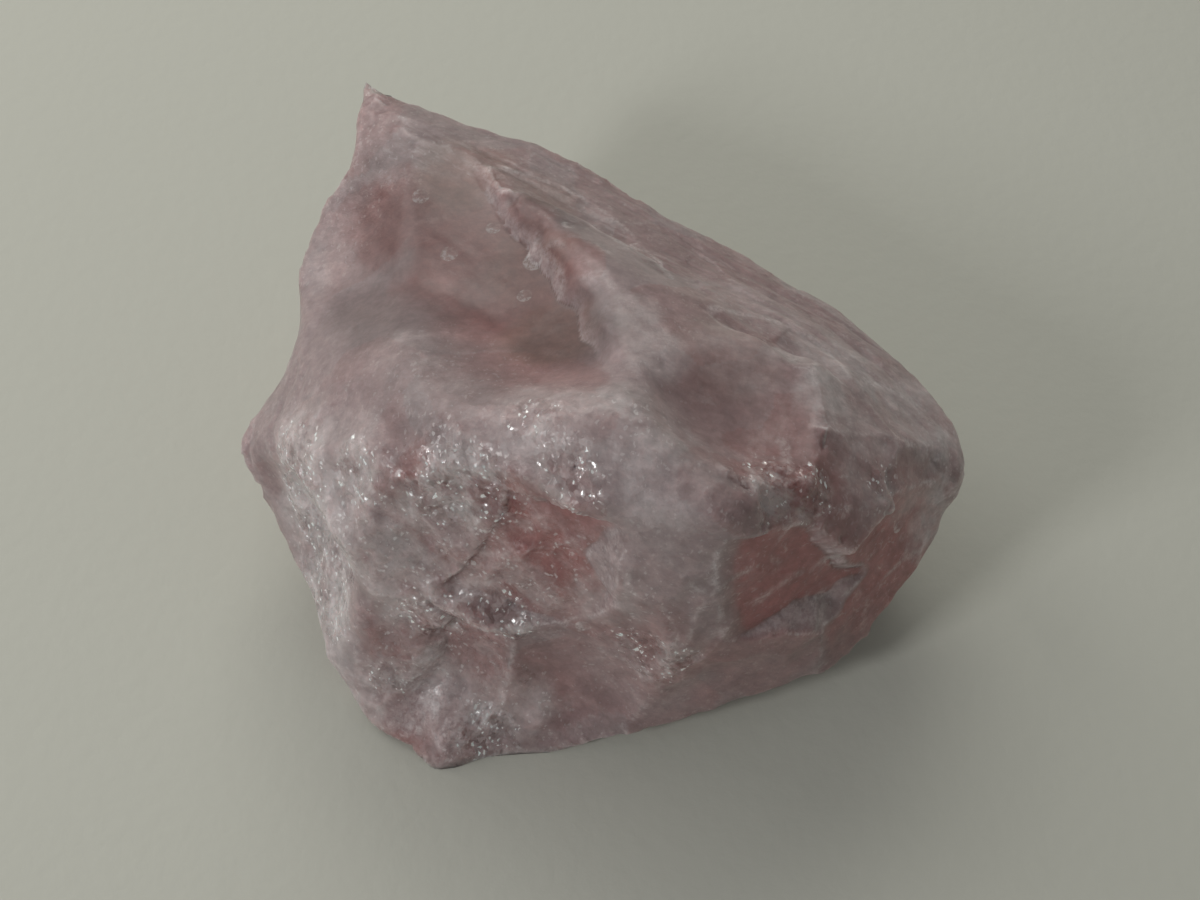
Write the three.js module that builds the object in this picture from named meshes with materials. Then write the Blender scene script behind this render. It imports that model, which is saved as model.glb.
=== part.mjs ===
// Rough rose quartz chunk: one broken lump of stone lying on its flat underside.
// Millimetres, +Z up, +X along the longest way of the lump.
import * as THREE from 'three';
import { ConvexHull } from 'three/addons/math/ConvexHull.js';
import { mergeVertices } from 'three/addons/utils/BufferGeometryUtils.js';

// Overall size of the lump.
const length = 96; // along X, left shoulder to right tip
const width = 91; // along Y, toe to apex
const height = 52; // along Z, rest face to summit

const gridSteps = 28; // grid squares along each side of the starting cube
const arrisRound = 0.4; // how far the edges between the broken faces are rounded
const waviness = 0.9; // how far the broken faces wander in and out
const wallLean = 0.8; // how far the walls of the hollows lean back, as a slope
const softening = 0.8; // how far each point is drawn to the mean of its neighbours
const restLayer = 0.3; // points lower than this stay where they are, so the rest face is flat
const heart = new THREE.Vector3(0, -4, 22); // point inside the lump that every ray starts from

// Corners of the broken faces. The lump starts as the tight skin around them.
const corners = {
  apex: [[-33, 46.5, 34.5]],
  backRim: [[-14, 38.5, 30], [0, 32, 29], [15, 24, 27], [33, 11, 25], [44, -2, 24]],
  rightTip: [[48.6, -9.5, 23], [49.4, -17, 21], [47.5, -24.5, 18], [43.5, -30, 13], [35, -34, 9]],
  frontFoot: [[22.5, -36.5, 7], [5.3, -39.6, 4], [-5, -42, 1]],
  toe: [[-13.5, -46, 0], [-26, -45, 0], [-32, -40, 0]],
  leftFoot: [[-34, -35, 4], [-38, -31, 9], [-39, -24, 13]],
  leftShoulder: [[-41, -16.5, 17], [-46.5, -12, 20], [-49.5, -3, 22], [-41, 13, 28]],
  leftEdge: [[-40.6, 21.5, 29], [-36.4, 29.5, 31]],
  summit: [[-20, -16, 45], [-7, -22, 50], [4.5, -24, 52], [0, -0.5, 44]],
  brow: [[24.5, -9.5, 42], [25, -23, 44], [13.5, -34, 46], [-4.5, -32.5, 45]],
  cheek: [[-31, -21.5, 38], [-21, -24, 42], [42, -12, 30]],
  restFace: [
    [-34, -30, 0], [-36, -5, 0], [-33, 22, 0], [-22, 33, 0], [-3, 26, 0],
    [16, 13, 0], [30, -4, 0], [28, -22, 0], [10, -34, 0],
  ],
};

// Shell-shaped hollows left by flakes: where each one bites into the skin, which way it
// opens, half its width, its depth, and how softly its rim runs into the stone around it.
// A drawn-out one is longer along one direction by the number of times given, and some stop
// at walls, each given as a direction and how far the wall stands that way.
const hollows = {
  bowl: {
    at: [-9, 4, 43], opens: [-0.2, 0.26, 0.95], half: 19, depth: 4.6, rim: 2,
    along: [20, -36, 9], times: 1.35,
    walls: [{ facing: [0.74, 0.68, 0], away: 6.6 }, { facing: [0.94, 0.35, 0], away: 4.2 }],
  },
  bowlFoot: {
    at: [-16, 10, 41], opens: [-0.05, 0.1, 1], half: 9, depth: 2, rim: 1,
    along: [20, -36, 5], times: 1.8,
  },
  bowlLeft: { at: [-28, 8, 38], opens: [-0.55, 0.2, 0.8], half: 17, depth: 3, rim: 1.5 },
  dish: {
    at: [17.5, -12, 45.8], opens: [0.33, 0.1, 0.94], half: 13.5, depth: 3.8, rim: 0.8,
    walls: [{ facing: [1, -0.05, 0.1], away: 10.5 }],
  },
  shelf: { at: [31, -15, 39], opens: [0.55, 0.15, 0.82], half: 12, depth: 1.4, rim: 0.5 },
  leftNotch: { at: [-45, 8, 27], opens: [-0.95, 0.05, 0.3], half: 12, depth: 3.6, rim: 1.2 },
  apexNotch: { at: [-37, 33, 31], opens: [-0.95, 0.3, 0.1], half: 6, depth: 1.7, rim: 0.4 },
  cheek: { at: [-31, -24, 34], opens: [-0.55, -0.6, 0.6], half: 11, depth: 2.2, rim: 0.6 },
  leftStep: { at: [-38, -22, 20], opens: [-0.85, -0.5, 0.15], half: 12, depth: 2.4, rim: 0.6 },
  frontBreak: { at: [-16, -31, 33], opens: [-0.42, -0.8, 0.4], half: 15, depth: 2.8, rim: 0.4 },
  frontLow: { at: [-4, -38, 18], opens: [-0.1, -0.97, 0.2], half: 14, depth: 2.2, rim: 0.5 },
  toeStep: { at: [-22, -40, 12], opens: [-0.3, -0.8, 0.5], half: 16, depth: 3.6, rim: 0.5 },
  toeNotch: { at: [-35, -37.5, 4], opens: [-0.85, -0.5, 0], half: 7, depth: 2.2, rim: 0.4 },
  redPlane: { at: [21, -34, 31], opens: [0.5, -0.86, 0.12], half: 13, depth: 2.6, rim: 0.5 },
  redFoot: { at: [36, -27, 20], opens: [0.68, -0.7, 0.2], half: 14, depth: 1.4, rim: 0.5 },
  redWedge: { at: [24, -27, 42], opens: [0.5, -0.55, 0.65], half: 8, depth: 1.6, rim: 0.4 },
  backBowl: { at: [6, 27, 16], opens: [0.42, 0.85, -0.2], half: 22, depth: 4.4, rim: 0.5 },
  backStep: { at: [-22, 38, 15], opens: [-0.2, 0.95, -0.25], half: 14, depth: 2.6, rim: 0.5 },
  backRight: { at: [37, 4, 13], opens: [0.7, 0.5, -0.5], half: 15, depth: 2.8, rim: 0.5 },
  leftSide: { at: [-41, 14, 14], opens: [-1, 0.15, -0.2], half: 17, depth: 3.2, rim: 0.8 },
  rightUnder: { at: [40, -18, 8], opens: [0.75, -0.2, -0.6], half: 14, depth: 1.6, rim: 0.5 },
};

const neverMet = 1000; // reach given to a ray that misses a face or a hollow

// The smaller of two reaches, with the crossing between them rounded by the given amount.
function softMin(first, second, round) {
  const gap = Math.abs(first - second) / round;
  return Math.min(first, second) - round * Math.log1p(Math.exp(-gap));
}

// Flat faces of the tight skin around the corners, leaving out the one the lump rests on.
const cornerPoints = Object.values(corners).flat().map((point) => new THREE.Vector3(...point));
const faces = new ConvexHull()
  .setFromPoints(cornerPoints)
  .faces.filter((face) => face.normal.z > -0.999)
  .map((face) => ({ normal: face.normal, reach: face.constant - face.normal.dot(heart) }));

const unit = (values) => new THREE.Vector3(...values).normalize();

// The vector with its part along the given direction divided by the given number.
function squeeze(vector, along, times) {
  return vector.clone().addScaledVector(along, vector.dot(along) * (1 / times - 1));
}

// Each hollow is the part of a ball that dips below the skin, behind its walls.
const cutters = Object.values(hollows).map((hollow) => {
  const { at, opens, half, depth, rim, along = [1, 0, 0], times = 1, walls = [] } = hollow;
  const radius = (half * half + depth * depth) / (2 * depth);
  const middle = new THREE.Vector3(...at).sub(heart);
  const centre = middle.clone().addScaledVector(unit(opens), radius - depth);
  const leaning = walls.map(({ facing, away }) => {
    const normal = unit(facing).addScaledVector(unit(opens), -wallLean).normalize();
    return { normal, reach: away + middle.dot(normal) };
  });
  const longWay = unit(along);
  return {
    centre: squeeze(centre, longWay, times), radius, rim, along: longWay, times, walls: leaning,
  };
});

// How far a ray goes from the heart before it enters a hollow.
function entryInto({ centre, radius, along, times, walls }, direction) {
  const ray = squeeze(direction, along, times);
  const nearest = ray.dot(centre) / ray.lengthSq();
  const beyond = nearest ** 2 - (centre.lengthSq() - radius ** 2) / ray.lengthSq();
  if (beyond <= 0) return neverMet;
  let entry = nearest - Math.sqrt(beyond);
  let leaving = nearest + Math.sqrt(beyond);
  for (const { normal, reach } of walls) {
    const towards = direction.dot(normal);
    if (towards > 0) leaving = Math.min(leaving, reach / towards);
    else entry = Math.max(entry, reach / towards);
  }
  return entry > 0 && entry < leaving ? entry : neverMet;
}

// Distance from the heart to the surface of the lump along one direction.
function reachAlong(direction) {
  let reach = neverMet;
  for (const face of faces) {
    const towards = direction.dot(face.normal);
    if (towards > 1e-4) reach = softMin(reach, face.reach / towards, arrisRound);
  }
  for (const cutter of cutters) {
    reach = softMin(reach, entryInto(cutter, direction), cutter.rim);
  }
  const floor = direction.z < -1e-4 ? -heart.z / direction.z : neverMet;
  return Math.min(reach, floor);
}

// Slow in-and-out wandering of the skin, fading away towards the rest face.
function wander({ x, y, z }) {
  const fade = waviness * Math.min(z / 6, 1);
  return new THREE.Vector3(
    0.6 * fade * (Math.sin(y / 5.1 + 1.3) + Math.sin(z / 4.3 + x / 9 + 0.4)),
    0.6 * fade * (Math.sin(x / 5.7 + 2.1) + Math.sin(z / 5.3 - y / 8 + 1.1)),
    0.7 * fade * Math.sin(x / 6.1 + y / 4.7 + 0.7),
  );
}

// Draws each point above the rest face part of the way to the mean of its neighbours, which
// takes the saw teeth off edges that cross the grid.
function soften(chunk) {
  const points = chunk.attributes.position;
  const corner = (i) => new THREE.Vector3().fromBufferAttribute(points, chunk.index.getX(i));
  const sums = Array.from({ length: points.count }, () => ({ total: new THREE.Vector3(), count: 0 }));
  for (let i = 0; i < chunk.index.count; i += 3) {
    const middle = corner(i).add(corner(i + 1)).add(corner(i + 2)).divideScalar(3);
    for (let k = i; k < i + 3; k += 1) {
      const sum = sums[chunk.index.getX(k)];
      sum.total.add(middle);
      sum.count += 1;
    }
  }
  sums.forEach(({ total, count }, i) => {
    const point = new THREE.Vector3().fromBufferAttribute(points, i);
    if (point.z < restLayer) return;
    point.lerp(total.divideScalar(count), softening);
    points.setXYZ(i, point.x, point.y, point.z);
  });
}

// A gridded cube, pushed out along rays from the heart until every point is on the lump.
function makeChunk() {
  const cube = new THREE.BoxGeometry(2, 2, 2, gridSteps, gridSteps, gridSteps);
  cube.deleteAttribute('normal');
  cube.deleteAttribute('uv');
  const chunk = mergeVertices(cube, 1e-5);
  const points = chunk.attributes.position;
  const stretch = new THREE.Vector3(length, width, height);
  for (let i = 0; i < points.count; i += 1) {
    const direction = new THREE.Vector3().fromBufferAttribute(points, i);
    for (const axis of ['x', 'y', 'z']) direction[axis] = Math.tan((direction[axis] * Math.PI) / 4);
    direction.normalize().multiply(stretch).normalize();
    const point = heart.clone().addScaledVector(direction, reachAlong(direction));
    point.z = Math.max(point.z, 0);
    point.add(wander(point));
    points.setXYZ(i, point.x, point.y, point.z);
  }
  soften(chunk);
  // Bring the lump to its overall size, with the middle of the rest face at the origin.
  chunk.computeBoundingBox();
  const { min, max } = chunk.boundingBox;
  chunk.translate(-(min.x + max.x) / 2, -(min.y + max.y) / 2, -min.z);
  chunk.scale(length / (max.x - min.x), width / (max.y - min.y), height / (max.z - min.z));
  chunk.computeVertexNormals();
  return chunk;
}

const roseQuartz = new THREE.MeshStandardMaterial({
  name: 'rose_quartz',
  color: '#c3a1a2',
  roughness: 0.35,
  metalness: 0,
});

const group = new THREE.Group();
const chunk = new THREE.Mesh(makeChunk(), roseQuartz);
chunk.name = 'rose_quartz_chunk';
group.add(chunk);

export default group;
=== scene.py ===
# A rough rose quartz chunk lying on pale paper in soft window light.
from functools import partial
from itertools import product

import bmesh
import bpy
import numpy as np
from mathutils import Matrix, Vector


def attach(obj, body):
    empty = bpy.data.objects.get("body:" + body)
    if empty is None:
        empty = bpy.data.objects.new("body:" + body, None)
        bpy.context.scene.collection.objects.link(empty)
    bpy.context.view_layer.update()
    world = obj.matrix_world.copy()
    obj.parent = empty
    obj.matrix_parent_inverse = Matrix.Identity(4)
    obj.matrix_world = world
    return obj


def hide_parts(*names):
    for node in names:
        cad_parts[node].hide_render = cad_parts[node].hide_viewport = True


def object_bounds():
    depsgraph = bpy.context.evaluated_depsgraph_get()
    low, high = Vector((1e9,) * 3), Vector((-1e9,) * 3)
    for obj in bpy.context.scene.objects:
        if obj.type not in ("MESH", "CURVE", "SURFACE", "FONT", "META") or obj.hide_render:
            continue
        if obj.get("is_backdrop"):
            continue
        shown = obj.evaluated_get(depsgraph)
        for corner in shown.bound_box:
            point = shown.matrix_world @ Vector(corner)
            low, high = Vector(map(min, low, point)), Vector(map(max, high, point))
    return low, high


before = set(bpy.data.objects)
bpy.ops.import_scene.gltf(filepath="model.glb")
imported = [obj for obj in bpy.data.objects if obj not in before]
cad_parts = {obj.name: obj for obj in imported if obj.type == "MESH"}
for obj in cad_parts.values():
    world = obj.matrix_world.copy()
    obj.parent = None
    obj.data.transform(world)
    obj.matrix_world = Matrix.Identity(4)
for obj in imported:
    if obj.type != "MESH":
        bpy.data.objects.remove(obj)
cadLow, cadHigh = (np.array(corner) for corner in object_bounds())  # the CAD box, in metres
mm = 0.001
print("frame loaded, CAD box", np.round((cadHigh - cadLow) / mm, 1), "mm")


def unit(vector):
    # the vector divided by its own length
    vector = np.asarray(vector, float)
    return vector / np.linalg.norm(vector, axis=-1, keepdims=True)


def smoothStep(value, low, high):
    # 0 below low, 1 above high, and 3t^2 - 2t^3 between them
    t = np.clip((value - low) / (high - low), 0, 1)
    return t * t * (3 - 2 * t)


def softMin(first, second, rounding):
    # the smaller of the two, less a rounding that fades as they part: rounding * ln(1 + e^(-gap / rounding))
    gap = np.abs(first - second) / rounding
    return np.minimum(first, second) - rounding * np.log1p(np.exp(-gap))


def cellRandom(cells, salt):
    # three repeatable numbers from 0 to 1 for each whole-number cell, mixed by large primes and bit shifts;
    # every pattern has a salt of its own, so that no two come out alike
    cells = cells.astype(np.int64)
    mixed = cells[..., 0] * 73856093 ^ cells[..., 1] * 19349663 ^ cells[..., 2] * 83492791 ^ salt * 97531
    numbers = []
    for turn in range(3):
        mixed = (mixed ^ (mixed >> 13)) & 0xFFFFFFFF
        mixed = (mixed * 1274126177 + turn * 40503) & 0xFFFFFFFF
        numbers.append(((mixed ^ (mixed >> 15)) & 0xFFFFFF) / 0x1000000)
    return np.stack(numbers, axis=-1)


def smoothNoise(points, size, salt):
    # random values on a lattice of the given spacing, blended between its corners, from -1 to 1
    cell = np.floor(points / size)
    part = points / size - cell
    ease = part * part * (3 - 2 * part)
    total = np.zeros(points.shape[:-1])
    for corner in product((0, 1), repeat=3):
        weight = np.prod(np.where(corner, ease, 1 - ease), axis=-1)
        total += weight * cellRandom(cell + corner, salt)[..., 0]
    return total * 2 - 1


def layeredNoise(points, size, layers, salt):
    # smooth noise summed with itself at half the size and half the strength, layer by layer
    strengths = 0.5 ** np.arange(layers)
    total = sum(each * smoothNoise(points, size * each, salt + i) for i, each in enumerate(strengths))
    return total / strengths.sum()


def drawnOut(points, along, stretch):
    # points squeezed along one direction, so that noise read at them comes out drawn out that way
    along = unit(along)
    run = points @ along
    return points - np.outer(run, along) * (1 - 1 / stretch)


def scallops(points, size, salt, hollow=0.9):
    # every seed carries a shallow bowl with its own lean, h = hollow r^2 + lean . r + lift, and the
    # lowest bowl wins, so they meet along sharp ridges; its height comes back shifted to swing about 0, with
    # the gap to the next bowl, how far off the winning seed is, and that seed's three random numbers
    base = np.floor(points / size)
    lowest = np.full(len(points), 1e9)
    second = lowest.copy()
    seedAway = lowest.copy()
    dice = np.zeros_like(points)
    for step in product((-1, 0, 1), repeat=3):
        cell = base + step
        seed = cellRandom(cell, salt)
        away = points / size - cell - seed
        cellDice = seed * 9.7 % 1  # the seed's further digits serve as its other random numbers
        squared = np.sum(away * away, axis=-1)
        height = hollow * squared + 0.4 * np.sum(away * (cellDice * 2 - 1), axis=-1) + 0.3 * cellDice[:, 0]
        lower = height < lowest
        second = np.where(lower, lowest, np.minimum(second, height))
        lowest = np.where(lower, height, lowest)
        seedAway = np.where(lower, np.sqrt(squared), seedAway)
        dice[lower] = cellDice[lower]
    return lowest - 0.25, second - lowest, seedAway, dice


# the lump, in millimetres from the middle of its flat underside
chunk = dict(
    gridSteps=127,  # squares along each side of the cube that the grid starts from
    heart=(0, -4, 22),  # every ray starts here
    stretch=(96, 91, 52),  # the rays are spread to suit a lump of these proportions
    lean=(2, -13, 15),  # and gathered towards the front and the top, where the detail is
    arrisRound=0.25,  # rounding of the edges between the broken faces
    waviness=0.9,  # how far the broken faces wander in and out
    waveFade=6,  # height above the floor at which they wander fully
    jaggedness=1.8,  # how far the walls of the hollows wander from straight
    wallLean=0.8,  # how far they lean back, as a slope
)

# corners of the broken faces: the lump starts as the tight skin around them
corners = dict(
    apex=[(-33, 46.5, 34.5)],
    backRim=[(-14, 38.5, 30), (0, 32, 29), (15, 24, 27), (33, 11, 25), (44, -2, 24)],
    rightTip=[(48.6, -9.5, 23), (49.4, -17, 21), (47.5, -24.5, 18), (43.5, -30, 13), (35, -34, 9)],
    frontFoot=[(22.5, -36.5, 7), (5.3, -39.6, 4), (-5, -42, 1)],
    toe=[(-13.5, -46, 0), (-26, -45, 0), (-32, -40, 0)],
    leftFoot=[(-34, -35, 4), (-38, -31, 9), (-39, -24, 13)],
    leftShoulder=[(-41, -16.5, 17), (-46.5, -12, 20), (-49.5, -3, 22), (-41, 13, 28)],
    leftEdge=[(-40.6, 21.5, 29), (-36.4, 29.5, 31)],
    summit=[(-20, -16, 45), (-7, -22, 50), (4.5, -24, 52), (0, -0.5, 44)],
    brow=[(24.5, -9.5, 42), (25, -23, 44), (13.5, -34, 46), (-4.5, -32.5, 45)],
    cheek=[(-31, -21.5, 38), (-21, -24, 42), (42, -12, 30)],
    restFace=[(-34, -30, 0), (-36, -5, 0), (-33, 22, 0), (-22, 33, 0), (-3, 26, 0), (16, 13, 0),
              (30, -4, 0), (28, -22, 0), (10, -34, 0)],
)

# shell-shaped hollows left by flakes: where, which way it opens, half width, depth, softness of its rim, and
# how deep the rose colour shows in it; some are drawn out along one direction, and some stop at walls, each
# a direction and how far the wall stands that way
hollows = dict(
    bowl=dict(at=(-9, 4, 43), opens=(-0.2, 0.26, 0.95), half=19, depth=4.6, rim=2.0, rose=0.75,
              along=(20, -36, 9), times=1.35, walls=[((0.74, 0.68, 0), 6.6), ((0.94, 0.35, 0), 4.2)]),
    bowlFoot=dict(at=(-16, 10, 41), opens=(-0.05, 0.1, 1), half=9, depth=2.0, rim=1.0, rose=0.75,
                  along=(20, -36, 5), times=1.8),
    bowlLeft=dict(at=(-28, 8, 38), opens=(-0.55, 0.2, 0.8), half=17, depth=3, rim=1.5, rose=0.15),
    dish=dict(at=(17, -14, 45.8), opens=(0.36, 0.0, 0.93), half=15, depth=3.8, rim=0.7, rose=0.4,
              walls=[((1, -0.05, 0.1), 10.5), ((-0.1, -1, 0.1), 11)]),
    shelf=dict(at=(31, -15, 39), opens=(0.55, 0.15, 0.82), half=12, depth=1.4, rim=0.2, rose=0.0,
               walls=[((0.2, -0.98, 0), 5)]),
    bandFlake=dict(at=(6, 19, 36), opens=(0.1, 0.3, 0.95), half=16, depth=1.4, rim=0.15, rose=0.1,
                   walls=[((-0.6, -0.8, 0), 5), ((0.8, -0.55, 0), 7)]),
    bandChip=dict(at=(23, 3, 37), opens=(0.35, 0.2, 0.9), half=14, depth=1.2, rim=0.15, rose=0.2,
                  walls=[((-0.5, -0.85, 0), 5), ((-0.8, 0.5, 0), 5)]),
    tipChip=dict(at=(38, -8, 32), opens=(0.6, 0.2, 0.8), half=10, depth=1.1, rim=0.15, rose=0.25,
                 walls=[((-0.6, -0.75, 0), 4)]),
    leftNotch=dict(at=(-45, 8, 27), opens=(-0.95, 0.05, 0.3), half=12, depth=3.6, rim=1.2, rose=0.1),
    apexNotch=dict(at=(-37, 33, 31), opens=(-0.95, 0.3, 0.1), half=6, depth=1.7, rim=0.4, rose=0.0),
    cheek=dict(at=(-31, -24, 34), opens=(-0.55, -0.6, 0.6), half=11, depth=2.2, rim=0.5, rose=0.1),
    leftStep=dict(at=(-38, -22, 20), opens=(-0.85, -0.5, 0.15), half=12, depth=2.4, rim=0.5, rose=0.0),
    frontBreak=dict(at=(-16, -31, 33), opens=(-0.42, -0.8, 0.4), half=15, depth=2.6, rim=0.2, rose=0.3,
                    walls=[((0.95, -0.2, -0.1), 14)]),
    frontDeep=dict(at=(-6.5, -33, 34.5), opens=(-0.3, -0.88, 0.3), half=24, depth=3.2, rim=0.1, rose=0.8,
                   walls=[((1, -0.1, -0.1), 5.5), ((-0.9, 0.1, 0.35), 9), ((0.1, 0, 1), 7),
                          ((-0.3, 0, -1), 9)]),
    frontLow=dict(at=(-4, -38, 18), opens=(-0.1, -0.97, 0.2), half=14, depth=2.2, rim=0.3, rose=0.2),
    lowDeep=dict(at=(-17, -37, 14.5), opens=(-0.4, -0.85, 0.35), half=20, depth=2.4, rim=0.1, rose=0.65,
                 walls=[((0.9, 0, 0.3), 6), ((-0.9, 0.4, 0.1), 6), ((0.2, 0, 1), 6), ((0.1, 0, -1), 6)]),
    toeStep=dict(at=(-22, -40, 12), opens=(-0.3, -0.8, 0.5), half=16, depth=3.6, rim=0.3, rose=0.35),
    toeNotch=dict(at=(-35, -37.5, 4), opens=(-0.85, -0.5, 0), half=7, depth=2.2, rim=0.3, rose=0.2),
    redPlane=dict(at=(20, -34.5, 33.5), opens=(0.5, -0.86, 0.12), half=30, depth=2.6, rim=0.1, rose=1.0,
                  walls=[((-0.85, -0.5, 0.12), 6.5), ((0.15, 0, 1), 8), ((0.8, 0.5, 0.3), 7),
                         ((-0.1, 0.1, -1), 8.5)]),
    redFoot=dict(at=(35, -27, 20), opens=(0.68, -0.7, 0.2), half=30, depth=1.3, rim=0.1, rose=0.95,
                 walls=[((-0.75, -0.6, 0.2), 7.5), ((-0.3, 0, 1), 9), ((0.5, 0.7, 0.3), 12)]),
    redWedge=dict(at=(22, -29, 43), opens=(0.5, -0.6, 0.6), half=20, depth=1.8, rim=0.1, rose=0.7,
                  walls=[((-0.8, -0.4, 0.3), 4), ((0.9, 0.2, -0.1), 4.5), ((-0.1, -0.4, -1), 4),
                         ((0.2, 0.9, 0.3), 5)]),
    duskyTop=dict(at=(32, -21, 38), opens=(0.62, -0.25, 0.75), half=22, depth=1.9, rim=0.1, rose=0.4,
                  walls=[((-0.95, 0.1, 0.2), 5.5), ((0.1, 0.95, 0.1), 5), ((0.2, -0.95, -0.3), 6),
                         ((0.9, 0.2, -0.3), 7)]),
    duskyEdge=dict(at=(39.5, -20, 29), opens=(0.72, -0.45, 0.55), half=22, depth=1.0, rim=0.1, rose=0.8,
                   walls=[((-0.7, -0.2, 0.7), 5), ((0.3, 0.9, 0.2), 5.5), ((0.3, -0.5, -0.8), 5)]),
    backBowl=dict(at=(6, 27, 16), opens=(0.42, 0.85, -0.2), half=22, depth=4.4, rim=0.3, rose=0.5),
    backStep=dict(at=(-22, 38, 15), opens=(-0.2, 0.95, -0.25), half=14, depth=2.6, rim=0.2, rose=0.3,
                  walls=[((0.9, 0.2, 0), 9)]),
    backRight=dict(at=(37, 4, 13), opens=(0.7, 0.5, -0.5), half=15, depth=2.8, rim=0.3, rose=0.8,
                   walls=[((-0.7, 0.7, 0.1), 10)]),
    leftSide=dict(at=(-41, 14, 14), opens=(-1, 0.15, -0.2), half=17, depth=3.2, rim=0.5, rose=0.3),
    rightUnder=dict(at=(40, -18, 8), opens=(0.75, -0.2, -0.6), half=14, depth=1.6, rim=0.4, rose=0.7),
)
neverMet = 1000  # reach given to a ray that misses a face or a hollow
grazing = 1e-4  # a ray that turns towards a face by less than this counts as passing it by


def cubeGrid(steps):
    # a cube's six sides as grids of two parameters, each the tangent of an angle from -45 to 45 degrees,
    # so that the squares come out even once the cube is blown up; shared edges are merged
    side = np.tan(np.linspace(-np.pi / 4, np.pi / 4, steps + 1))
    across, up = (grid.ravel() for grid in np.meshgrid(side, side, indexing="ij"))
    out = np.ones_like(across)
    sides = [(out, across, up), (-out, up, across), (up, out, across),
             (across, -out, up), (across, up, out), (up, across, -out)]
    points = np.concatenate([np.stack(each, axis=-1) for each in sides])
    index = np.arange((steps + 1) ** 2).reshape(steps + 1, steps + 1)
    square = np.stack([index[:-1, :-1], index[1:, :-1], index[1:, 1:], index[:-1, 1:]], axis=-1)
    squares = np.concatenate([square.reshape(-1, 4) + i * index.size for i in range(6)])
    _, first, mergedIndex = np.unique(np.round(points, 6), axis=0, return_index=True, return_inverse=True)
    return points[first], mergedIndex.reshape(-1)[squares]


def hullFaces(points):
    # outward direction and distance from the heart of each flat face of the tight skin around the points
    skin = bmesh.new()
    for point in points:
        skin.verts.new(point)
    bmesh.ops.convex_hull(skin, input=skin.verts)
    heart = Vector(chunk["heart"])
    faces = [(tuple(face.normal), face.normal.dot(face.verts[0].co - heart)) for face in skin.faces]
    skin.free()
    normals, reaches = (np.array(values) for values in zip(*faces))
    outward = np.sign(reaches)[:, None]
    normals, reaches = normals * outward, np.abs(reaches)
    offFloor = normals[:, 2] > -0.999
    return normals[offFloor], reaches[offFloor]


def hollowEntry(rays, jag, at, opens, half, depth, along=None, times=1.0, walls=()):
    # how far each ray goes from the heart before it enters the hollow, and whether that is through a wall;
    # a drawn-out ball is met by squeezing space along its long way first, and then the entry t solves
    # a t^2 - 2 b t + c = 0 with a, b and c from the squeezed ray
    radius = (half * half + depth * depth) / (2 * depth)
    centre = np.array(at) + unit(opens) * (radius - depth) - chunk["heart"]
    squeezed, squeezedCentre = rays, centre
    if along is not None:
        squeezed, squeezedCentre = drawnOut(rays, along, times), drawnOut(centre[None], along, times)[0]
    a = np.sum(squeezed * squeezed, axis=-1)
    b = squeezed @ squeezedCentre
    inside = b * b - a * (squeezedCentre @ squeezedCentre - radius * radius)
    root = np.sqrt(np.maximum(inside, 0))
    entry, leaving = (b - root) / a, (b + root) / a
    # the ray is behind a wall while t (ray . direction) < distance + (at - heart) . direction, and walls
    # lean outwards
    onWall = np.zeros(len(rays), bool)
    for direction, distance in walls:
        direction = unit(unit(direction) - chunk["wallLean"] * unit(opens))
        towards = rays @ direction
        stands = distance + jag + (np.array(at) - chunk["heart"]) @ direction
        limit = stands / np.where(np.abs(towards) < grazing, grazing, towards)
        leaving = np.where(towards > 0, np.minimum(leaving, limit), leaving)
        onWall = np.where(towards > 0, onWall, onWall | (limit > entry))
        entry = np.where(towards > 0, entry, np.maximum(entry, limit))
    return np.where((inside > 0) & (entry > 0) & (entry < leaving), entry, neverMet), onWall


def chunkSkin(rays):
    # distance from the heart along each ray: the nearest flat face, then the entry into each hollow
    # where that is nearer, and last the floor; then slow sine waves move the skin in and out
    heart = np.array(chunk["heart"], float)
    reach = np.full(len(rays), float(neverMet))
    allCorners = [corner for group in corners.values() for corner in group]
    for normal, faceReach in zip(*hullFaces(allCorners)):
        towards = rays @ normal
        hit = np.where(towards > grazing, faceReach / np.maximum(towards, grazing), neverMet)
        reach = softMin(reach, hit, chunk["arrisRound"])
    jag = chunk["jaggedness"] * layeredNoise(heart + rays * reach[:, None], 6, 2, 20)
    met, rose, wall, rimFrost = reach.copy(), *np.zeros((3, len(rays)))
    for hollow in hollows.values():
        shape = {key: hollow[key] for key in hollow if key not in ("rim", "rose")}
        entry, onWall = hollowEntry(rays, jag, **shape)
        # colour follows the hollow that the ray meets first, and its sharp rim is crushed white
        owns = smoothStep(met - entry, 0, max(3 * hollow["rim"], 1.2))
        rose += (np.where(onWall, 0, hollow["rose"]) - rose) * owns
        wall += (onWall - wall) * owns
        onRim = 1 - smoothStep(np.abs(entry - met), 0.0, 0.3)
        rimFrost = np.where(entry < met - 0.3, 0, rimFrost) + onRim * (hollow["rim"] < 0.45)
        met = np.minimum(met, entry)
        reach = softMin(reach, entry, hollow["rim"])
    down = rays[:, 2]
    floorReach = np.where(down < -grazing, -heart[2] / np.minimum(down, -grazing), neverMet)
    reach = np.minimum(reach, floorReach)
    points = heart + rays * reach[:, None]
    x, y, z = points.T
    wander = np.stack([
        0.6 * (np.sin(y / 5.1 + 1.3) + np.sin(z / 4.3 + x / 9 + 0.4)),
        0.6 * (np.sin(x / 5.7 + 2.1) + np.sin(z / 5.3 - y / 8 + 1.1)),
        0.7 * np.sin(x / 6.1 + y / 4.7 + 0.7),
    ], axis=-1)
    wander = wander * chunk["waviness"] * np.clip(z / chunk["waveFade"], 0, 1)[:, None]
    return points + wander, rose, wall, np.clip(rimFrost, 0, 1)


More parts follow.
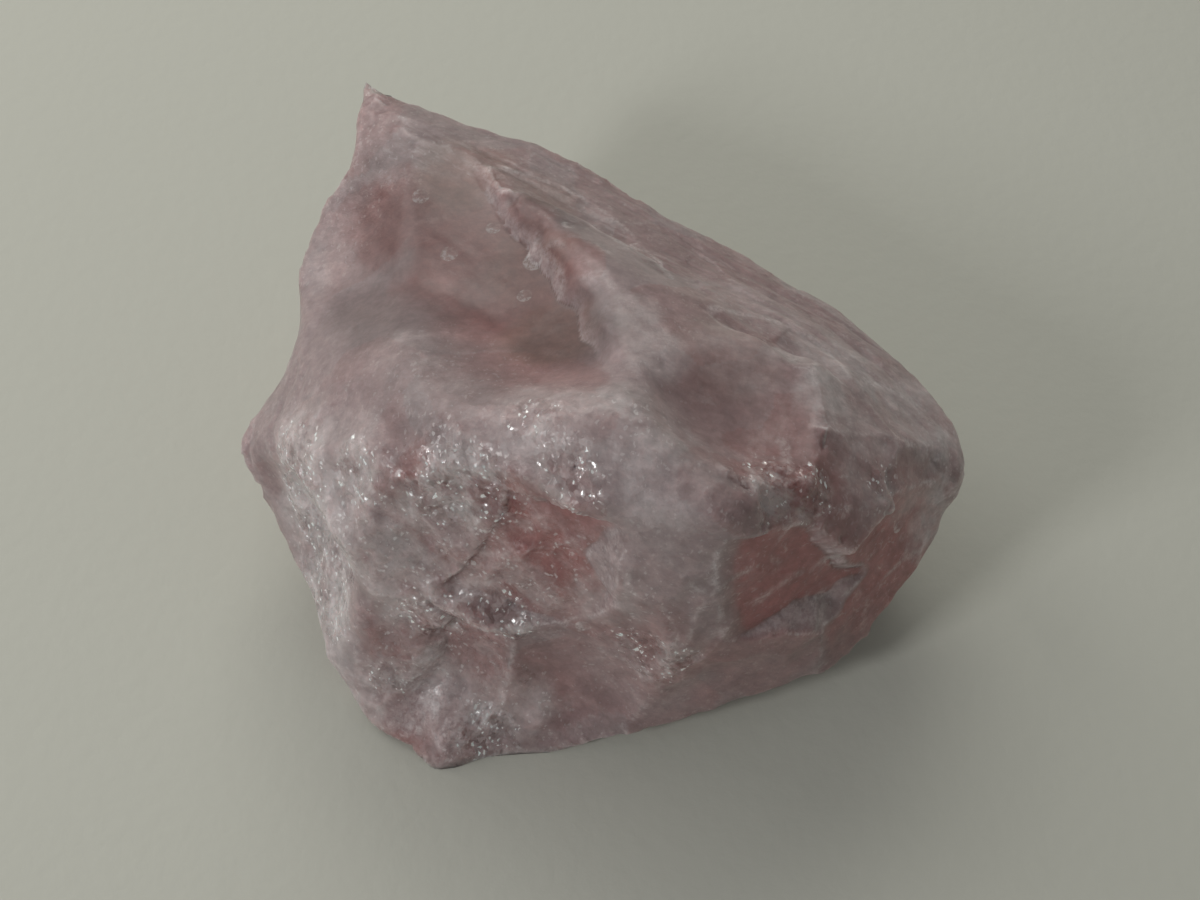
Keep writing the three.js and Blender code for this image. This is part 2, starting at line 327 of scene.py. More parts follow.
def skinNormals(points, squares):
    # each square's direction is the cross product of its diagonals, and each point's the sum of its squares'
    a, b, c, d = (points[squares[:, i]] for i in range(4))
    facing = np.cross(c - a, d - b)
    total = np.stack([
        np.bincount(squares.ravel(), np.repeat(facing[:, axis], 4), len(points)) for axis in range(3)
    ], axis=-1)
    return unit(total)


def neighbourMean(values, squares):
    # the mean of each point's neighbours around its squares
    nextCorner, lastCorner = np.roll(squares, -1, axis=1).ravel(), np.roll(squares, 1, axis=1).ravel()
    here = squares.ravel()
    count = np.bincount(here, minlength=len(values))[:, None] * 2
    total = np.stack([
        np.bincount(here, values[nextCorner, k] + values[lastCorner, k], len(values))
        for k in range(values.shape[1])
    ], axis=-1)
    return total / count


def fitToBox(points):
    # stretched along each axis so that its box is the CAD box, in millimetres
    low, high = points.min(axis=0), points.max(axis=0)
    cadLowMm, cadHighMm = cadLow / mm, cadHigh / mm
    return cadLowMm + (points - low) * (cadHighMm - cadLowMm) / (high - low)


def anyPatch(points, patches, salt):
    # each patch is its strength at its middle and falls to 0 at its reach, with a ragged border; the
    # strongest one counts
    ragged = 0.35 * layeredNoise(points, 7, 3, salt)
    strongest = np.zeros(len(points))
    for at, reach, strength in patches:
        away = np.linalg.norm(points - np.array(at), axis=-1) / reach
        strongest = np.maximum(strongest, strength * (1 - smoothStep(away + ragged, 0.55, 1.1)))
    return strongest


# how the surface broke: middle, reach and strength of each patch of each zone, and fresh is where the rose
# colour in the hollows isn't dulled
zones = dict(
    hackly=[((-17, -27, 40), 10, 0.9), ((-25, -29, 31), 13, 0.8), ((-13, -33, 30), 13, 0.8),
            ((-22, -35, 17), 12, 0.6), ((-36, -22, 22), 12, 0.8), ((0, -25, 50), 9, 0.25),
            ((20, -28, 43), 7, 0.4), ((-16, -42, 4), 6, 0.6), ((33, -22, 33), 6, 0.4),
            ((4, -38, 20), 10, 0.35), ((4, -36, 32), 9, 0.3), ((13, -35, 36), 7, 0.25),
            ((46, -16, 24), 6, 0.3), ((-12, -40, 9), 8, 0.5)],
    striated=[((-24, 34, 34), 14, 1), ((-4, 26, 33), 15, 1), ((12, 14, 33), 15, 1), ((28, 3, 31), 16, 1),
              ((38, -6, 30), 12, 0.8), ((-44, -6, 24), 12, 1), ((-41, -18, 20), 9, 1)],
    bowl=[((-20, 14, 35), 16, 1), ((-8, 4, 40), 14, 1), ((-30, 6, 36), 13, 1), ((-2, -8, 44), 8, 0.8),
          ((17, -15, 42), 10, 0.8)],
    planes=[((23, -33, 30), 17, 1), ((37, -26, 20), 16, 1), ((30, -24, 36), 12, 1), ((6, -37, 28), 15, 0.7),
            ((-26, -41, 5), 10, 0.6), ((2, 10, 38), 12, 0.5)],
    calm=[((-31, 36, 34), 9, 0.5), ((-17, -17, 46), 11, 1), ((-4, -20, 50), 10, 1), ((6, -25, 50), 10, 1),
          ((-33, -2, 36), 12, 0.8), ((4, -33, 42), 7, 0.8), ((48, -14, 22), 8, 1), ((-29, -42, 5), 9, 0.7)],
    veined=[((22, -32, 36), 14, 1), ((36, -25, 22), 15, 1), ((30, -20, 37), 11, 1), ((-4, -36, 24), 12, 0.6),
            ((-16, -30, 34), 14, 0.6)],
    fresh=[((20, -33, 36), 17, 1), ((37, -26, 21), 15, 1), ((22, -28, 43), 9, 1), ((-6, -33, 36), 12, 1),
           ((-17, -37, 16), 10, 1), ((-13, 8, 38), 22, 1), ((36, -21, 33), 10, 1), ((17, -15, 42), 12, 1)],
    sparkle=[((-20, -27, 38), 6, 1), ((-14, -27, 40), 5, 0.9), ((-21, -34, 21), 6.5, 1),
             ((-15, -42, 4), 5, 1), ((-37, -19, 21), 8, 1), ((-36, -26, 13), 8, 0.9),
             ((-37, -16, 29), 7, 0.9), ((-12, -35, 23), 5, 0.9), ((-4, -28, 46), 5, 0.7),
             ((-9, -22, 50), 4, 0.8), ((19, -28, 43), 4.5, 0.9), ((6, -38, 20), 6, 0.6),
             ((-30, -22, 36), 5, 0.8), ((33, -22, 33), 4, 0.6), ((-28, -36, 8), 4, 0.8),
             ((24, -27, 40), 4, 0.8), ((-16, -26, 43), 5, 0.9)],
)

# sizes and heights of the relief, in millimetres
relief = dict(
    calmPasses=30,  # rounds of smoothing where the skin is calm
    arrisPasses=12,  # and to tell how sharply it turns
    planeSize=12, planeStep=1.7,  # broad clean breaks
    hacklySizes=[(6.5, 1.6, 0.65), (3.4, 0.9, 0.35)],  # facet size, height and share in the facets' tone
    fineSize=1.9, fineStep=0.08,
    scarSize=8.0, scarDepth=0.4,  # shell-shaped dents, everywhere
    edgeNibbles=[(3.4, 1.0), (1.7, 0.5)],  # scar size and depth along the arrises
    striaSize=2.6, leftStriaSize=2.4, striaStep=0.22, striaDraw=9, leftStriaDraw=8,  # drawn-out lines
    fibreSize=1.6, fibreStep=0.04, fibreDraw=7,
    bandWay=(0.82, -0.56, -0.12),  # along the upper right band, apex to tip
    leftWay=(0.2, -0.9, -0.38),  # down the left shoulder
    fibreWay=(0.6, -0.7, 0.35),  # down into the bowl
    grainSize=1.1, grain=0.04,
    restHeight=(0.6, 4),  # nothing stands out below the first, and everything does above the second
)

# small half-moon bruises under the skin, where the stone was knocked, and their width in mm
bruiseMarks = [((-24, 22, 34), 1.3), ((-20, 12, 36), 1.3), ((-14, 16, 36), 1.1), ((-8, 10, 38), 1.7),
               ((-10, 4, 39), 1.1), ((5, 14, 36), 1.2), ((-5, 12, 38), 1.0), ((39, -23, 24), 1.0),
               ((-2, -36, 22), 1.1), ((30, -24, 31), 1.1), ((24, -24, 38), 0.9)]


def scars(points, size, salt, share=0.6):
    # shallow shell-shaped dents: 1 - (distance from the seed / reach)^2, on a share of the seeds
    _, _, seedAway, dice = scallops(points, size, salt, 3.0)
    reach = 0.35 + 0.4 * dice[:, 1]
    return np.maximum(0, 1 - (seedAway / reach) ** 2) * (dice[:, 2] < share)


def buildChunk():
    # the skin, then relief along its normals, and the masks that the colour follows
    cube, squares = cubeGrid(chunk["gridSteps"])
    rays = unit(unit(cube) * chunk["stretch"] + np.array(chunk["lean"]))
    points, rose, wall, rimFrost = chunkSkin(rays)
    points = fitToBox(points)
    normals = skinNormals(points, squares)
    if np.mean(np.sum(normals * (points - np.array(chunk["heart"])), axis=-1)) < 0:
        squares, normals = squares[:, ::-1], -normals
    print("chunk skin", len(points), "points,", len(squares) * 2, "triangles")

    # the skin is worn soft where it is calm, and how far its smoothed self lies below it tells how sharply
    # it turns outwards
    masks = {name: anyPatch(points, patches, 60 + i) for i, (name, patches) in enumerate(zones.items())}
    smoothed = points
    for _ in range(relief["calmPasses"]):
        smoothed = neighbourMean(smoothed, squares)
    points = points + (smoothed - points) * 0.9 * masks["calm"][:, None]
    smoothed = points
    for _ in range(relief["arrisPasses"]):
        smoothed = neighbourMean(smoothed, squares)
    arris = smoothStep(np.sum((points - smoothed) * normals, axis=-1), 0.1, 0.45)[:, None]
    for _ in range(2):
        arris = neighbourMean(arris, squares)
    arris = arris[:, 0]

    aboveRest = smoothStep(points[:, 2], *relief["restHeight"])
    hackly, bowl, striated = masks["hackly"], masks["bowl"], masks["striated"]
    rise = np.zeros(len(points))
    frost = np.zeros(len(points))
    warp = 0.9 * np.stack([smoothNoise(points, 5, 5 + k) for k in range(3)], axis=-1)
    warped = drawnOut(points, (-0.25, -0.6, -0.75), 1.6) + warp
    broken = smoothNoise(points, 3.1, 31) + 0.6 * smoothNoise(points, 1.3, 32)

    planeRise, planeGap, _, planeDice = scallops(points + 1.5 * warp, relief["planeSize"], 90, 0.6)
    planeWeight = np.clip(0.5 + 0.5 * masks["planes"] - 0.35 * bowl - 0.35 * masks["calm"], 0, 1)
    rise += relief["planeStep"] * planeRise * planeWeight
    frost += 0.8 * rimFrost * smoothStep(broken, -0.6, 0.3) + 0.4 * wall * smoothStep(broken, -0.9, 0.2)
    planeEdge = 0.6 * (1 - smoothStep(planeGap, 0.0, 0.07)) * smoothStep(broken, -0.2, 0.5)
    frost += planeEdge * (0.2 + masks["planes"])
    facet = np.zeros(len(points))
    for i, (size, step, share) in enumerate(relief["hacklySizes"]):
        facetRise, gap, _, dice = scallops(warped, size, 100 + 7 * i)
        rise += step * facetRise * (0.06 + 0.94 * hackly)
        frost += 0.5 * (1 - smoothStep(gap, 0.0, 0.1)) * smoothStep(broken, -0.2, 0.6) * hackly
        facet += share * dice[:, 1]
    rise += relief["fineStep"] * scallops(warped, relief["fineSize"], 130)[0] * (0.15 + 0.85 * hackly)
    scarred = 0.9 - 0.8 * np.maximum(bowl, masks["calm"])
    rise -= relief["scarDepth"] * scars(warped, relief["scarSize"], 200) * scarred
    for i, (size, depth) in enumerate(relief["edgeNibbles"]):
        rise -= depth * scars(points, size, 300 + 7 * i, 0.8) * arris
    onLeft = smoothStep(-points[:, 0], 36, 40)
    alongBand = drawnOut(points, relief["bandWay"], relief["striaDraw"])
    bandLines = layeredNoise(alongBand, relief["striaSize"], 3, 400)
    alongLeft = drawnOut(points, relief["leftWay"], relief["leftStriaDraw"])
    leftLines = layeredNoise(alongLeft, relief["leftStriaSize"], 3, 410)
    lines = bandLines * (1 - onLeft) + leftLines * onLeft
    rise += relief["striaStep"] * (lines - 0.8 * np.abs(lines)) * striated * 2
    frost += 0.2 * smoothStep(lines, 0.15, 0.4) * striated
    alongFibres = drawnOut(points, relief["fibreWay"], relief["fibreDraw"])
    rise += relief["fibreStep"] * layeredNoise(alongFibres, relief["fibreSize"], 2, 420) * 2
    rise += relief["grain"] * smoothNoise(points, relief["grainSize"], 430) * (0.4 + hackly)
    points = points + normals * (rise * aboveRest)[:, None]
    points[:, 2] = np.maximum(points[:, 2], 0)
    points = fitToBox(points)

    # crushed stone on every small ridge scatters light, so ridges frost over
    below = neighbourMean(neighbourMean(points, squares), squares)
    ridge = np.sum((points - below) * skinNormals(points, squares), axis=-1)
    frost += 0.6 * smoothStep(ridge, 0.06, 0.22) * (0.25 + 0.6 * hackly + 0.5 * arris)
    masks["frost"] = np.clip(frost, 0, 1)
    masks["cutRose"] = neighbourMean(rose[:, None], squares)[:, 0] * (0.6 + 0.4 * masks["fresh"])
    masks["wall"] = wall
    masks["plane"] = planeDice[:, 1]
    masks["facet"] = facet
    print("chunk relief, mean", round(float(np.abs(rise).mean()), 2), "mm")
    return points, squares, masks, arris


def floatAttribute(mesh, name, values):
    # one number for each point, which the material reads by name
    mesh.attributes.new(name, "FLOAT", "POINT").data.foreach_set("value", values.astype(np.float32))


# clouds of colour inside the stone: middle, reach and strength of each
clouds = dict(
    rose=[((-24, 19, 34), 11, 1), ((-19, 11, 36), 11, 1), ((-12, 5, 38), 11, 1), ((-7, -5, 42), 8, 0.6),
          ((17, -15, 42), 9, 0.2), ((35, -26, 20), 14, 0.7), ((27, -27, 34), 12, 0.6),
          ((20, -34, 18), 14, 0.45), ((6, -38, 20), 12, 0.35), ((44, -12, 14), 12, 0.5),
          ((-12, 13, 37), 8, 1), ((-8, 4, 40), 6, 0.5), ((-17, 22, 36), 7, 0.7), ((24, -28, 40), 6, 0.6),
          ((-10, -33, 32), 7, 0.3), ((-21, -35, 15), 7, 0.3), ((-27, -41, 4), 7, 0.5),
          ((-10, -39, 10), 9, 0.3)],
    # milk is cloudy white veils; the patches at the thin right tip and along the right side are partly
    # painted light, a glow for light passing through the stone there
    milkAndGlow=[((-18, -19, 46), 9, 0.35), ((-8, -21, 50), 8, 0.55), ((0, -24, 51), 9, 0.55),
          ((6, -24, 50), 8, 0.45), ((8, -29, 49), 9, 0.6), ((-37, -19, 21), 10, 1), ((-36, -27, 12), 10, 1),
          ((-38, -15, 30), 9, 0.8), ((-31, -18, 37), 8, 0.4), ((-27, -30, 27), 8, 0.9),
          ((-31, -23, 28), 9, 1), ((-23, -34, 21), 7, 0.8), ((-20, -29, 37), 6, 0.7),
          ((-15, -34, 23), 6, 0.7), ((47, -13, 25), 9, 1), ((47, -19, 20), 8, 1), ((4, -4, 45), 4, 0.5),
          ((7, -11, 47), 5, 0.5), ((42, -8, 30), 9, 0.8), ((33, -4, 35), 9, 0.6), ((31, -18, 38), 8, 0.6),
          ((20, 4, 37), 8, 0.4), ((17, -8, 42), 8, 0.4), ((5, -35, 38), 8, 0.25), ((0, -37, 29), 6, 0.6),
          ((-12, -41, 8), 7, 0.6), ((-31, -36, 6), 8, 0.8), ((-20, -40, 8), 8, 0.6),
          ((34, -21, 36), 8, 0.5), ((40, -18, 29), 7, 0.5), ((6, -39, 14), 8, 0.3),
          ((-37, 17, 31), 8, 0.2), ((28, -12, 41), 5, 0.9), ((-22, -9, 42), 8, 0.25)],
    # the clear patches darken the colour: partly clearer stone, partly painted shade on the bowl, the crest
    # and below the apex
    clear=[((-22, 16, 35), 13, 1), ((-12, 6, 38), 12, 1), ((-4, -5, 42), 9, 1), ((-28, 4, 37), 12, 0.8),
           ((-10, 14, 37), 9, 1), ((-18, -13, 44), 11, 0.5), ((-27, 26, 34), 10, 0.7)],
    tan=[((-18, 26, 36), 8, 0.6), ((-8, 22, 36), 7, 0.6), ((-9, 9, 38), 8, 0.5), ((-6, -4, 41), 8, 0.8),
         ((14, -9, 42), 8, 0.3)],
)


def linearColour(code):
    # each sRGB channel above 0.04045 is ((c + 0.055) / 1.055) to the power 2.4, and below it c / 12.92
    srgb = np.array([int(code[i:i + 2], 16) for i in (1, 3, 5)]) / 255
    linear = np.where(srgb > 0.04045, ((srgb + 0.055) / 1.055) ** 2.4, srgb / 12.92)
    return (*linear.tolist(), 1.0)


def addNode(tree, kind, *values, out=None, **named):
    # adds one node and gives back one of its outputs, the first that is in use unless another is asked for;
    # the values fill or link the inputs in use in their order, and a name with a capital letter is an input
    # and one without is a setting
    node = tree.nodes.new("ShaderNode" + kind)
    for name, value in named.items():
        if name[0].islower():
            setattr(node, name, value)
    filled = list(zip([socket for socket in node.inputs if socket.enabled], values))
    filled += [(node.inputs[name.replace("_", " ")], named[name]) for name in named if name[0].isupper()]
    for socket, value in filled:
        if isinstance(value, bpy.types.NodeSocket):
            tree.links.new(value, socket)
        else:
            socket.default_value = value
    if out is not None:
        return node.outputs[out]
    return next((socket for socket in node.outputs if socket.enabled), None)


def newMaterial(name):
    material = bpy.data.materials.new(name)
    material.use_nodes = True
    material.node_tree.nodes.clear()
    return material, material.node_tree


quartzLook = dict(
    blush="#a59394",  # ordinary body colour, pale dusty mauve pink
    rose="#a37977",  # deeper pink where the stone is clear and thick
    deep="#ad7776",  # the deepest, under the freshest breaks
    milkAndGlow="#d0c8c8",  # cloudy white veils, and in a few patches a painted glow of light passing through
    tan="#8c7062",  # faint iron staining along a fold
    frost="#d6cccc",  # crushed white edges and knocks
    paintedGlint="#ffffff",  # painted glints: films of air painted white for the light they flash back
    indexOfRefraction=1.544,
    roughness=0.38,
    cloudSize=9, veilSize=4.5, mottleSize=2.2, dustSize=0.6, grainSize=4.2,  # mm, as are the next two lines
    facetSize=1.7, glintSize=0.6, crackSize=4.5, lineSize=0.8, streakSize=1.6,
    wobbleSize=1.5, wobbleReach=1.6, rippleReach=0.3,
    bandTurn=(0.0, 0.15, -0.6), lineDraw=9,  # how the fine lines are turned, in radians, and drawn out
    streakTurn=(0.0, 0.75, -0.15), streakDraw=2.5,  # and the streaks of flecks
    bruiseLean=(0.5, 0.5, 0.3),  # which side the half moons are open to, in widths
    clearAndShadeLoss=0.42,  # how much darker the clear patches are made, partly clearer stone and partly painted shade
    airShine=0.35,  # how much of a mirror the brightest films of air are
    glow=(1.0, 0.78, 0.76),  # how much further red light travels inside than green and blue
    glowReach=3.4,  # mm
    glowShare=0.8, glowForward=0.3,  # share of the light that sinks in, and how far it keeps its direction
)


def roseQuartz(marks):
    # Rose quartz, broken and unpolished: glassy shell-shaped faces, hackly facets that each catch the light
    # their own way, and light that sinks in and comes back pink, so shadows stay soft and thin edges glow.
    look = quartzLook
    material, tree = newMaterial("roseQuartz")
    add = partial(addNode, tree)
    smooth = dict(interpolation_type="SMOOTHSTEP")
    times, timesPlus = dict(operation="MULTIPLY"), dict(operation="MULTIPLY_ADD")
    place = add("TexCoord", out="Object")
    rose, cutRose, milkAndGlow, clear, tan, hackly, sparkle, frost, plane, facet, striated, veined, bowl = (
        add("Attribute", attribute_name=name, out="Fac")
        for name in ("rose", "cutRose", "milkAndGlow", "clear", "tan", "hackly", "sparkle", "frost", "plane",
                     "facet", "striated", "veined", "bowl")
    )

    # fine lines run along the upper right band, and healed cracks in streaks that fall away to the right:
    # both are noise read in a turned frame whose first axis is squeezed
    turned, fallen = (
        add("Mapping", vector_type="TEXTURE", Vector=place, Rotation=turn, Scale=(draw, 1, 1))
        for turn, draw in ((look["bandTurn"], look["lineDraw"]), (look["streakTurn"], look["streakDraw"]))
    )
    clouds, veils, fine, dust, lines, streaks, haze, fibres = (
        add("TexNoise", Vector=where, Scale=1 / (size * mm), Detail=detail, Roughness=roughness)
        for where, size, detail, roughness in (
            (place, look["cloudSize"], 5, 0.55),
            (place, look["veilSize"], 6, 0.65),
            (place, look["mottleSize"], 5, 0.65),
            (place, look["dustSize"], 3, 0.7),
            (turned, look["lineSize"], 4, 0.6),
            (fallen, look["streakSize"], 3, 0.6),
            (fallen, 3 * look["streakSize"], 4, 0.65),
            (fallen, 0.7 * look["streakSize"], 4, 0.6),
        )
    )
    lines = add("Math", lines, striated, **times)

    # hairline cracks run where the border between two cells of a warped cell pattern is near
    wobble = add("TexNoise", Vector=place, Scale=1 / (look["wobbleSize"] * mm), Detail=3.0, out="Color")
    wobble = add("VectorMath", wobble, (0.5, 0.5, 0.5), operation="SUBTRACT")
    wobble = add("VectorMath", wobble, look["wobbleReach"] * mm, operation="SCALE")
    wobbled = add("VectorMath", place, wobble, operation="ADD")
    cracks = add("TexVoronoi", feature="DISTANCE_TO_EDGE", Vector=wobbled,
                 Scale=1 / (look["crackSize"] * mm), out="Distance")
    cracked = add("Math", add("MapRange", cracks, 0.035, 0.01, **smooth),
                  add("MapRange", fine, 0.5, 0.62, **smooth), **times)

    roseAmount = add("Math", add("Math", rose, cutRose, operation="MAXIMUM"),
                     add("MapRange", clouds, 0.3, 0.6, 0.75, 1.0, **smooth), **times)
    roseAmount = add("Math", add("MapRange", plane, 0.35, 0.9, **smooth), 0.3, roseAmount, **timesPlus)
    rosyFacets = add("Math", add("MapRange", facet, 0.4, 0.7, **smooth), hackly, **times)
    roseAmount = add("Math", rosyFacets, 0.5, roseAmount, **timesPlus)
    roseAmount = add("Math", roseAmount, 1.0, operation="MINIMUM")
    milkAndGlowAmount = add("Math", milkAndGlow, add("MapRange", veils, 0.3, 0.62, 0.3, 1.0, **smooth), **times)
    milkAndGlowAmount = add("Math", add("MapRange", veils, 0.56, 0.75, **smooth),
                     add("Math", clear, -0.2, 0.25, **timesPlus), milkAndGlowAmount, **timesPlus)
    frostAmount = add("Math", frost, add("MapRange", dust, 0.35, 0.6, 0.25, 1.0, **smooth), **times)
    speckle = add("Math", sparkle, add("Math", hackly, 0.5, **times), operation="MAXIMUM")
    speckle = add("Math", speckle, add("MapRange", haze, 0.42, 0.58, **smooth), **times)

    # colours laid over the body colour, one on top of the other, and how much of each
    layers = [
        (roseAmount, "rose"),
        (add("MapRange", cutRose, 0.65, 1.0, **smooth), "deep"),
        (add("Math", tan, 0.5, **times), "tan"),
        (add("Math", milkAndGlowAmount, 0.72, **times), "milkAndGlow"),
        (add("Math", frostAmount, 0.75, **times), "frost"),
        (add("Math", speckle, 0.8, **times), "frost"),
    ]
    # a bruise is a half moon: inside one ball and outside another one set off to its side
    bruised = add("MapRange", dust, 0.4, 0.6, 0.15, 0.7, **smooth)
    for at, width in marks:
        beside = at + np.array(look["bruiseLean"]) * width
        whole = add("VectorMath", place, tuple(at * mm), operation="DISTANCE")
        bitten = add("VectorMath", place, tuple(beside * mm), operation="DISTANCE")
        moon = add("Math", add("MapRange", whole, width * mm, 0.85 * width * mm, **smooth),
                   add("MapRange", bitten, 0.7 * width * mm, width * mm, 0.2, **smooth), **times)
        layers.append((add("Math", moon, bruised, **times), "frost"))
    crackShare = add("Math", veined, 0.25, 0.05, **timesPlus)
    layers.append((add("Math", cracked, crackShare, **times), "frost"))
    lineShare = add("MapRange", lines, 0.5, 0.72, 0.0, 0.3, **smooth)
    layers.append((add("Math", lineShare, add("MapRange", fine, 0.4, 0.6, **smooth), **times), "frost"))
    colour = linearColour(look["blush"])
    for amount, tint in layers:
        colour = add("Mix", amount, colour, linearColour(look[tint]), data_type="RGBA")

    # clear stone sends less light back, so it looks darker, and the same patches carry painted shade on the
    # upper faces; all of it is faintly mottled
    clearAndPaintedShade = add("Math", clear, -look["clearAndShadeLoss"], 1.0, **timesPlus)
    colour = add("VectorMath", colour, clearAndPaintedShade, operation="SCALE")
    mottle = add("Math", add("MapRange", fine, 0.25, 0.75, 0.91, 1.08, **smooth),
                 add("MapRange", dust, 0.3, 0.7, 0.95, 1.05, **smooth), **times)
    mottle = add("Math", mottle, add("MapRange", fibres, 0.3, 0.7, 0.91, 1.07, **smooth), **times)
    shaded = add("VectorMath", colour, mottle, operation="SCALE")

    # each small facet tilts the surface its own way, strongly in the hackly zones and faintly elsewhere,
    # and in the sparkling patches much finer facets tilt further still
    def tiltedFacets(size, amount, where, metric):
        dice = add("TexVoronoi", distance=metric, Vector=where, Scale=1 / (size * mm), out="Color")
        tilt = add("VectorMath", dice, (0.5, 0.5, 0.5), operation="SUBTRACT")
        return dice, add("VectorMath", tilt, amount, operation="SCALE")

    facetTurn = add("Math", hackly, 0.35, 0.03, **timesPlus)
    facetDice, facetTilt = tiltedFacets(look["facetSize"], facetTurn, wobbled, "EUCLIDEAN")
    glintTurn = add("Math", sparkle, 1.0, add("Math", hackly, 0.15, **times), **timesPlus)
    slivers = add("VectorMath", wobbled, (1.0, 0.7, 0.85), operation="MULTIPLY")
    glintDice, glintTilt = tiltedFacets(look["glintSize"], glintTurn, slivers, "MANHATTAN")
    glintAway = glintDice.node.outputs["Distance"]
    tilted = add("VectorMath", add("NewGeometry", out="Normal"), facetTilt, operation="ADD")
    tilted = add("VectorMath", tilted, glintTilt, operation="ADD")
    tilted = add("VectorMath", tilted, operation="NORMALIZE")
    height = add("Math", add("Math", dust, 0.35, fine, **timesPlus),
                 add("Math", lines, 0.5, **times), operation="ADD")
    rippled = add("Bump", Strength=add("Math", bowl, -0.25, 0.45, **timesPlus),
                  Distance=look["rippleReach"] * mm, Height=height, Normal=tilted)

    # each small grain has its own depth of tone, except where the stone broke satin smooth
    rough = add("Math", 1.0, bowl, operation="SUBTRACT")

    def grainTone(dice, spread):
        pick = add("Math", add("SeparateColor", dice, out="Red"), 0.5, operation="SUBTRACT")
        return add("Math", pick, add("Math", rough, spread, **times), 1.0, **timesPlus)

    grainDice = add("TexVoronoi", Vector=wobbled, Scale=1 / (look["grainSize"] * mm), out="Color")
    tone = add("Math", grainTone(facetDice, 0.13), grainTone(grainDice, 0.12), **times)
    shaded = add("VectorMath", shaded, tone, operation="SCALE")

    # a few cells of the fine facets are films of air in healed cracks, painted snow white as glints, colour
    # that stands in for the light they flash back
    glintPick = add("SeparateColor", glintDice, out="Blue")
    paintedGlintZone = add("Math", add("MapRange", sparkle, 0.05, 0.5, **smooth),
                    add("Math", hackly, 0.35, 0.1, **timesPlus), operation="MAXIMUM")
    paintedGlintZone = add("Math", paintedGlintZone, rough, **times)
    paintedGlintZone = add("Math", paintedGlintZone, add("MapRange", streaks, 0.44, 0.52, **smooth), **times)
    paintedGlints = add("Math", add("MapRange", glintPick, 0.5, 0.56, **smooth), paintedGlintZone, **times)
    paintedGlints = add("Math", paintedGlints, add("MapRange", glintAway, 0.55, 0.4, **smooth), **times)
    shaded = add("Mix", paintedGlints, shaded, linearColour(look["paintedGlint"]), data_type="RGBA")
    mirror = add("Math", paintedGlints, add("MapRange", glintPick, 0.64, 0.68, **smooth), **times)
    glassy = add("MapRange", add("SeparateColor", glintDice, out="Green"), 0.3, 0.8, 0.1, 0.4, **smooth)
    roughness = add("Mix", add("Math", hackly, sparkle, operation="MAXIMUM"), look["roughness"], glassy,
                    data_type="FLOAT")
    roughness = add("Math", milkAndGlowAmount, 0.12, roughness, **timesPlus)
    shader = add("BsdfPrincipled", Base_Color=shaded, Roughness=roughness, Normal=rippled,
                 Metallic=add("Math", mirror, look["airShine"], **times), IOR=look["indexOfRefraction"],
                 Subsurface_Weight=look["glowShare"], Subsurface_Radius=look["glow"],
                 Subsurface_Scale=look["glowReach"] * mm, Subsurface_Anisotropy=look["glowForward"])
    add("OutputMaterial", Surface=shader)
    return material


def makeChunk():
    points, squares, masks, arris = buildChunk()
    mesh = bpy.data.meshes.new("roseQuartzChunk")
    mesh.from_pydata(points * mm, [], squares)
    mesh.validate()
    floatAttribute(mesh, "hackly", np.clip(masks["hackly"] + 0.3 * arris, 0, 1))
    for name in ("sparkle", "frost", "plane", "cutRose", "facet", "striated", "veined", "bowl"):
        floatAttribute(mesh, name, masks[name])
    for i, (name, patches) in enumerate(clouds.items()):
        floatAttribute(mesh, name, anyPatch(points, patches, 80 + i) * (1 - 0.8 * masks["wall"]))
    mesh.shade_smooth()
    piece = bpy.data.objects.new("roseQuartzChunk", mesh)
    bpy.context.scene.collection.objects.link(piece)
    # each bruise sits on the grid point nearest to it
    marks = []
    for at, width in bruiseMarks:
        nearest = np.argmin(np.linalg.norm(points - np.array(at), axis=-1))
        marks.append((points[nearest], width))
    mesh.materials.append(roseQuartz(marks))
    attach(piece, "root")
    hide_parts("rose_quartz_chunk")
    print("chunk made")


# sizes in millimetres, but half the sheet's side in metres
paper = dict(colour="#c9c9bf", roughness=0.85, fibreSize=2.5, fibreDepth=0.4, halfSide=3.0)


def paperSheet():
    # Uncoated pale paper: matt, with a faint pressed tooth a couple of millimetres across.
    material, tree = newMaterial("uncoatedPaper")
    place = addNode(tree, "TexCoord", out="Object")
    tooth = addNode(tree, "TexNoise", Vector=place, Scale=1 / (paper["fibreSize"] * mm), Detail=5.0)
    pressed = addNode(tree, "Bump", Strength=0.25, Distance=paper["fibreDepth"] * mm, Height=tooth)
    shader = addNode(tree, "BsdfPrincipled", Base_Color=linearColour(paper["colour"]),
                     Roughness=paper["roughness"], Normal=pressed)
    addNode(tree, "OutputMaterial", Surface=shader)
    return material


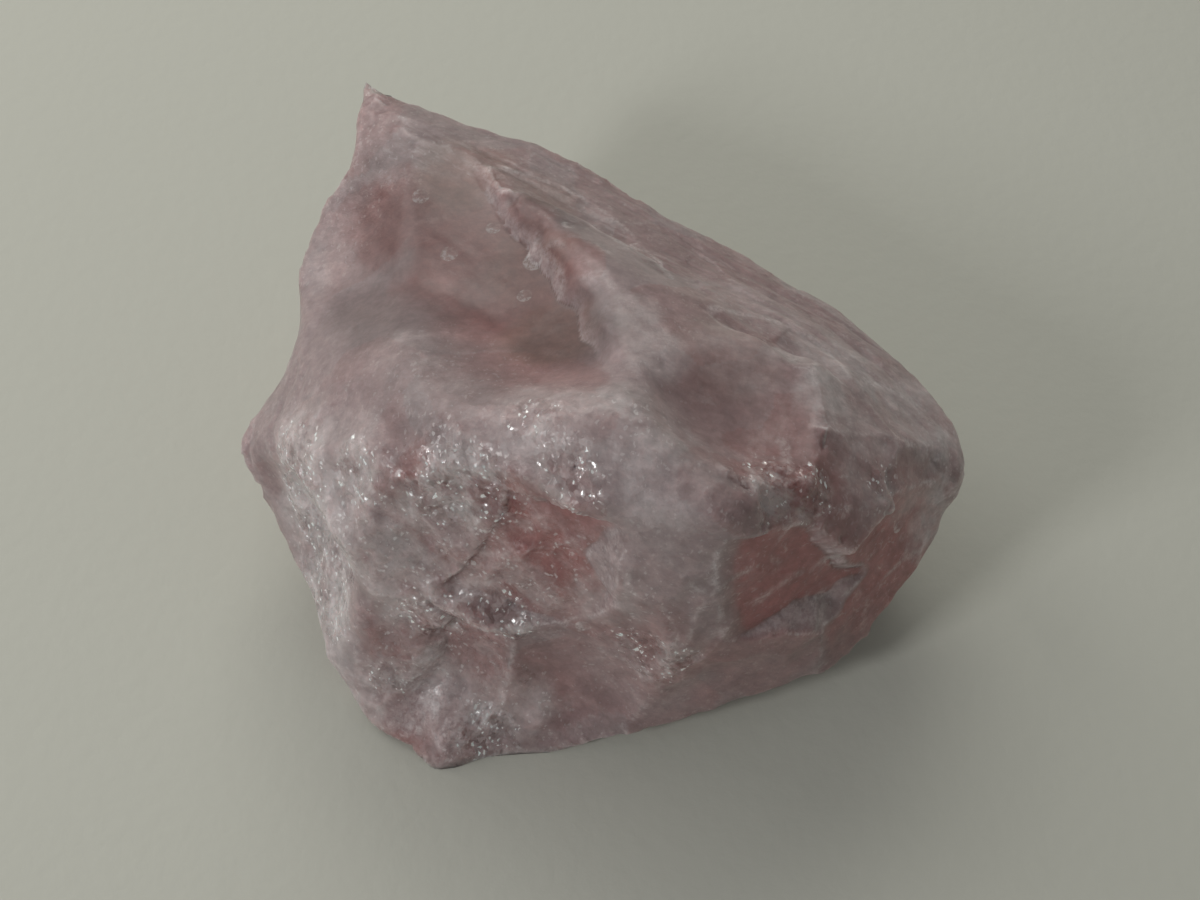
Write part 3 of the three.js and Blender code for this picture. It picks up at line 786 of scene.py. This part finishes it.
def makeFloor():
    side = paper["halfSide"]
    mesh = bpy.data.meshes.new("floor")
    outline = [(-side, -side, 0), (side, -side, 0), (side, side, 0), (-side, side, 0)]
    mesh.from_pydata(outline, [], [(0, 1, 2, 3)])
    mesh.materials.append(paperSheet())
    floor = bpy.data.objects.new("floor", mesh)
    bpy.context.scene.collection.objects.link(floor)
    floor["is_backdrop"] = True
    print("floor made")


# places and sides in metres, power in watts
light = dict(
    aim=(0, 0, 0.02),
    window=dict(at=(-0.42, 0.32, 0.38), side=(0.30, 0.40), power=0.9, colour="#fdfbf6"),
    pane=dict(at=(-0.50, -0.34, 0.38), side=(0.12, 0.16), power=1.35, colour="#ffffff"),  # for glints
    ceiling=dict(at=(-0.05, 0.62, 0.62), side=(0.5, 0.4), power=2.15, colour="#fffef6"),
    fillColour="#e6e8e6", fillStrength=0.245,
)


def makeLamp(name, at, side, power, colour):
    lamp = bpy.data.lights.new(name, "AREA")
    lamp.shape = "RECTANGLE"
    lamp.size, lamp.size_y = side
    lamp.energy = power
    lamp.color = linearColour(colour)[:3]
    holder = bpy.data.objects.new(name, lamp)
    holder.location = at
    holder.rotation_euler = (Vector(light["aim"]) - holder.location).to_track_quat("-Z", "Y").to_euler()
    bpy.context.scene.collection.objects.link(holder)


def makeLight():
    for name in ("window", "pane", "ceiling"):
        makeLamp(name, **light[name])
    world = bpy.data.worlds.new("room")
    world.use_nodes = True
    background = world.node_tree.nodes["Background"]
    background.inputs["Color"].default_value = linearColour(light["fillColour"])
    background.inputs["Strength"].default_value = light["fillStrength"]
    bpy.context.scene.world = world
    bpy.context.scene.view_settings.view_transform = "Standard"
    print("light made")


view = dict(elevation=58.0, lens=50.0, aim=(0, -10.6, 24), distance=219)  # degrees and millimetres


def makeCamera():
    camera = bpy.data.cameras.new("camera")
    camera.lens = view["lens"]
    camera.clip_start, camera.clip_end = 0.01, 20
    holder = bpy.data.objects.new("camera", camera)
    tilt = np.radians(view["elevation"])
    back = Vector((0, -np.cos(tilt), np.sin(tilt)))
    holder.location = (Vector(view["aim"]) + back * view["distance"]) * mm
    holder.rotation_euler = (-back).to_track_quat("-Z", "Y").to_euler()
    bpy.context.scene.collection.objects.link(holder)
    bpy.context.scene.camera = holder
    print("camera made")


makeCamera()
makeLight()
makeFloor()
makeChunk()
